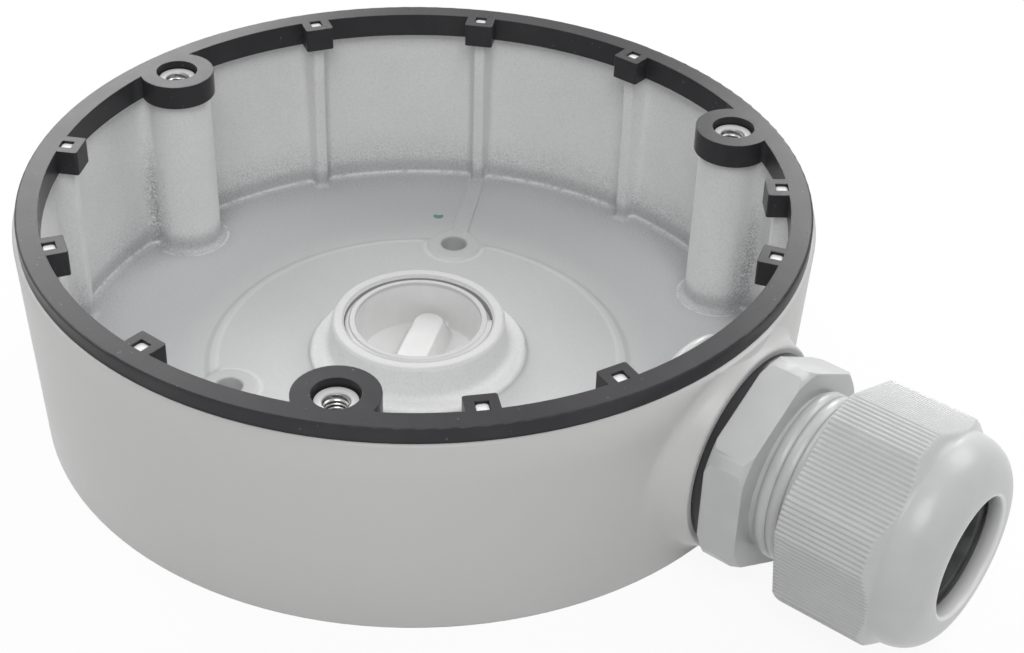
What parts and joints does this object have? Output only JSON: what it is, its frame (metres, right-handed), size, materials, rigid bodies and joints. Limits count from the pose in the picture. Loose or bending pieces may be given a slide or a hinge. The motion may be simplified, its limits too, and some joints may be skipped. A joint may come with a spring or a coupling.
{
  "type": "camera mount adapter",
  "caption": "Round die-cast wall box for a dome camera, open at the front, with a rubber rim gasket, a rear entry plug and a nylon cable gland in its side.",
  "frame": {"origin": "centre of the flat back face, which is also the centre of the three wall-screw holes", "axes": "+Z away from the wall, out of the open side; +X along the cable gland, outwards"},
  "size_m": [0.1786, 0.137, 0.0404],
  "materials": {
    "housing_coat": "satin powder coat on cast aluminium",
    "gasket_rubber": "matte moulded rubber",
    "plug_plastic": "smooth ivory white moulding",
    "gland_nylon": "semi-gloss light grey nylon",
    "seal_rubber": "matte rubber"
  },
  "bodies": {
    "box": {"housing": "housing_coat", "rim_gasket": "gasket_rubber", "gland_washer": "seal_rubber", "gland_body": "gland_nylon"},
    "seal_cage": {"gland_claw": "gland_nylon", "gland_seal": "seal_rubber"},
    "cap_nut": {"gland_cap_nut": "gland_nylon"},
    "plug_ring": {"plug_seal": "seal_rubber"},
    "plug": {"entry_plug": "plug_plastic"}
  },
  "joints": [
    {"name": "cap_travel", "type": "slide", "parent": "box", "child": "seal_cage", "axis": [1, 0, 0], "range_m": [-0.003, 0.004]},
    {"name": "cap_turn", "type": "hinge", "parent": "seal_cage", "child": "cap_nut", "pos_m": [0.095, 0, 0.0194], "axis": [1, 0, 0], "range_deg": [-540, 720]},
    {"name": "plug_travel", "type": "slide", "parent": "box", "child": "plug_ring", "axis": [0, 0, -1], "range_m": [0, 0.00726]},
    {"name": "plug_turn", "type": "hinge", "parent": "plug_ring", "child": "plug", "pos_m": [0, 0, 0.006], "axis": [0, 0, -1], "range_deg": [0, 1440]}
  ],
  "couplings": [
    {"joint": "cap_travel", "follows": "cap_turn", "m_per_rad": 0.00031831},
    {"joint": "plug_travel", "follows": "plug_turn", "m_per_rad": 0.00028875}
  ]
}
